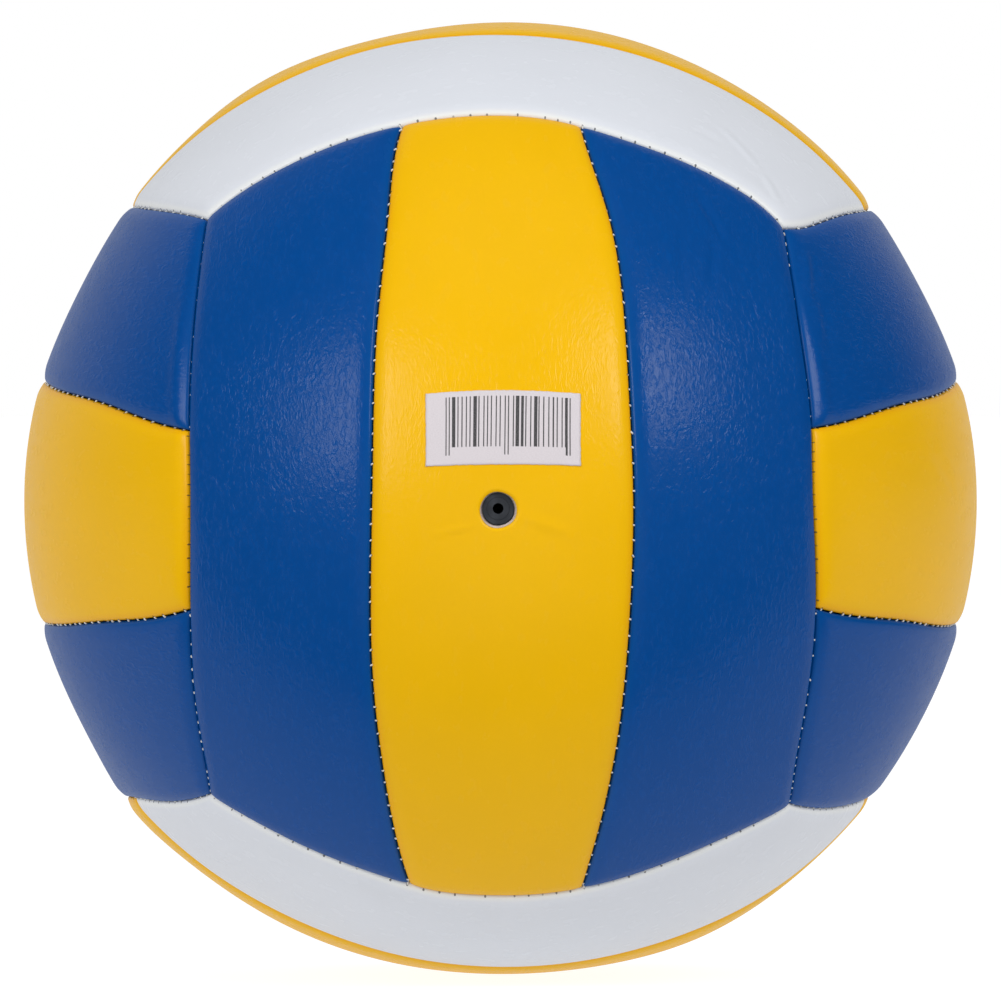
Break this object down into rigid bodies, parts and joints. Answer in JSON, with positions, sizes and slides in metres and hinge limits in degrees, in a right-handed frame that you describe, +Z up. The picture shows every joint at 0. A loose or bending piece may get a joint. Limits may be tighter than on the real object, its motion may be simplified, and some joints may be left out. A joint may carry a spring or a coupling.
{
  "type": "volleyball",
  "caption": "Sewn indoor volleyball with padded cover strips in yellow, blue and white around a rubber bladder with a needle valve.",
  "frame": {"origin": "centre of the ball", "axes": "+Z up, -Y out through the valve, +X to the right when the valve faces the viewer; the strips of the valve's face run along Z"},
  "size_m": [0.21, 0.2099, 0.21],
  "materials": {
    "yellow_cover": "satin",
    "blue_cover": "satin",
    "white_cover": "satin",
    "foam_backing": "matte",
    "sewing_thread": "matte",
    "bladder_rubber": "matte",
    "valve_rubber": "matte",
    "patch_cloth": "matte",
    "label_paper": "matte"
  },
  "bodies": {
    "root": {"front_left_panel": "blue_cover", "front_middle_panel": "yellow_cover", "front_right_panel": "blue_cover", "back_left_panel": "white_cover", "back_middle_panel": "yellow_cover", "back_right_panel": "white_cover", "left_upper_panel": "blue_cover", "left_middle_panel": "yellow_cover", "left_lower_panel": "blue_cover", "right_upper_panel": "blue_cover", "right_middle_panel": "yellow_cover", "right_lower_panel": "blue_cover", "top_front_panel": "white_cover", "top_middle_panel": "yellow_cover", "top_back_panel": "white_cover", "bottom_front_panel": "white_cover", "bottom_middle_panel": "yellow_cover", "bottom_back_panel": "white_cover", "front_left_foam": "foam_backing", "front_middle_foam": "foam_backing", "front_right_foam": "foam_backing", "back_left_foam": "foam_backing", "back_middle_foam": "foam_backing", "back_right_foam": "foam_backing", "left_upper_foam": "foam_backing", "left_middle_foam": "foam_backing", "left_lower_foam": "foam_backing", "right_upper_foam": "foam_backing", "right_middle_foam": "foam_backing", "right_lower_foam": "foam_backing", "top_front_foam": "foam_backing", "top_middle_foam": "foam_backing", "top_back_foam": "foam_backing", "bottom_front_foam": "foam_backing", "bottom_middle_foam": "foam_backing", "bottom_back_foam": "foam_backing", "front_seam_threads": "sewing_thread", "back_seam_threads": "sewing_thread", "left_seam_threads": "sewing_thread", "right_seam_threads": "sewing_thread", "top_seam_threads": "sewing_thread", "bottom_seam_threads": "sewing_thread", "front_edge_threads": "sewing_thread", "back_edge_threads": "sewing_thread", "left_edge_threads": "sewing_thread", "right_edge_threads": "sewing_thread", "top_edge_threads": "sewing_thread", "bottom_edge_threads": "sewing_thread", "bladder": "bladder_rubber", "valve_patch": "patch_cloth", "valve_housing": "valve_rubber", "valve_core": "valve_rubber", "paper_label": "label_paper"}
  },
  "joints": []
}
